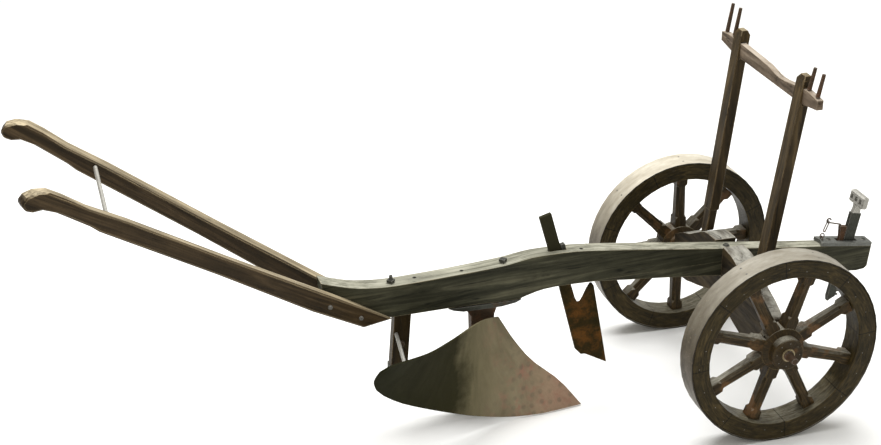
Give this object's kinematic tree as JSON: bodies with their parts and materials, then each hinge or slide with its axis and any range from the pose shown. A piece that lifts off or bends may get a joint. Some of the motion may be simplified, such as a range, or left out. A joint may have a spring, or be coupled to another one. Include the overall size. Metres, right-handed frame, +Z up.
{
  "type": "walking plow",
  "caption": "Wooden walking plow with curved moldboard, knife coulter, toothed depth regulator, twin rear handles, rein stand and spoked fore-carriage wheels.",
  "frame": {"origin": "middle of the bounding box at ground level", "axes": "+X forward, the way the plow is drawn, +Y to the plow's left, +Z up"},
  "size_m": [2.408, 0.8566, 1.0462],
  "materials": {
    "beam_wood": "weathered oiled timber",
    "handle_wood": "hand-worn timber",
    "post_wood": "dark stained timber",
    "crossbar_wood": "pale weathered timber",
    "wheel_wood": "dark oiled timber",
    "tyre_iron": "worn flat iron tread",
    "dark_iron": "dark forged iron",
    "rusty_iron": "rusted forged iron",
    "moldboard_iron": "earth-polished plate with rust",
    "bright_iron": "bare worn iron"
  },
  "bodies": {
    "frame": {"beam": "beam_wood", "axle_tree": "beam_wood", "handle_right": "handle_wood", "handle_left": "handle_wood", "post_right": "post_wood", "post_left": "post_wood", "heel_post": "post_wood", "crossbar": "crossbar_wood", "front_plate": "dark_iron", "plate_bolt_rear": "dark_iron", "plate_bolt_front": "dark_iron", "rear_nut": "dark_iron", "rear_stud": "dark_iron", "frog_nut": "dark_iron", "carriage_bolt": "dark_iron", "coulter_wedge": "dark_iron", "landside": "dark_iron", "frog_flange": "dark_iron", "chain_staple": "rusty_iron", "axle_arm_right": "rusty_iron", "axle_arm_left": "rusty_iron", "axle_end_right": "rusty_iron", "axle_end_left": "rusty_iron", "rein_pin_inner_right": "rusty_iron", "rein_pin_inner_left": "rusty_iron", "rein_pin_outer_right": "rusty_iron", "rein_pin_outer_left": "rusty_iron", "frog_neck": "rusty_iron", "heel_bolt": "rusty_iron", "moldboard": "moldboard_iron", "handle_rod": "bright_iron", "moldboard_stay": "bright_iron", "handle_bolt_rear_right": "bright_iron", "handle_bolt_rear_left": "bright_iron", "handle_bolt_front_right": "bright_iron", "handle_bolt_front_left": "bright_iron"},
    "wheel_right": {"tyre_right": "tyre_iron", "felloes_right": "wheel_wood", "hub_spokes_right": "wheel_wood", "hub_bush_right": "bright_iron"},
    "wheel_left": {"tyre_left": "tyre_iron", "felloes_left": "wheel_wood", "hub_spokes_left": "wheel_wood", "hub_bush_left": "bright_iron"},
    "coulter": {"coulter": "rusty_iron"},
    "regulator": {"regulator_bar": "dark_iron", "regulator_head": "bright_iron"},
    "wedge": {"regulator_wedge": "rusty_iron", "wedge_rod": "rusty_iron"},
    "chain_link": {"chain_link": "rusty_iron"},
    "chain_ring": {"chain_ring": "rusty_iron"}
  },
  "joints": [
    {"name": "wheel_right_spin", "type": "hinge", "parent": "frame", "child": "wheel_right", "pos_m": [0.75565, -0.335, 0.275], "axis": [0, 1, 0], "continuous": true},
    {"name": "wheel_left_spin", "type": "hinge", "parent": "frame", "child": "wheel_left", "pos_m": [0.75565, 0.335, 0.275], "axis": [0, 1, 0], "continuous": true},
    {"name": "coulter_slide", "type": "slide", "parent": "frame", "child": "coulter", "axis": [-0.2924, 0, 0.9563], "range_m": [-0.06, 0.01]},
    {"name": "regulator_slide", "type": "slide", "parent": "frame", "child": "regulator", "axis": [0.1822, 0, 0.9833], "range_m": [-0.055, 0.07]},
    {"name": "wedge_slide", "type": "slide", "parent": "frame", "child": "wedge", "axis": [0.1822, 0, 0.9833], "range_m": [0, 0.05]},
    {"name": "link_swing", "type": "hinge", "parent": "wedge", "child": "chain_link", "pos_m": [1.06765, 0, 0.4505], "axis": [0, 1, 0], "range_deg": [-8, 8]},
    {"name": "ring_swing", "type": "hinge", "parent": "frame", "child": "chain_ring", "pos_m": [1.05045, 0, 0.4092], "axis": [0, 1, 0], "range_deg": [-12, 12]}
  ]
}
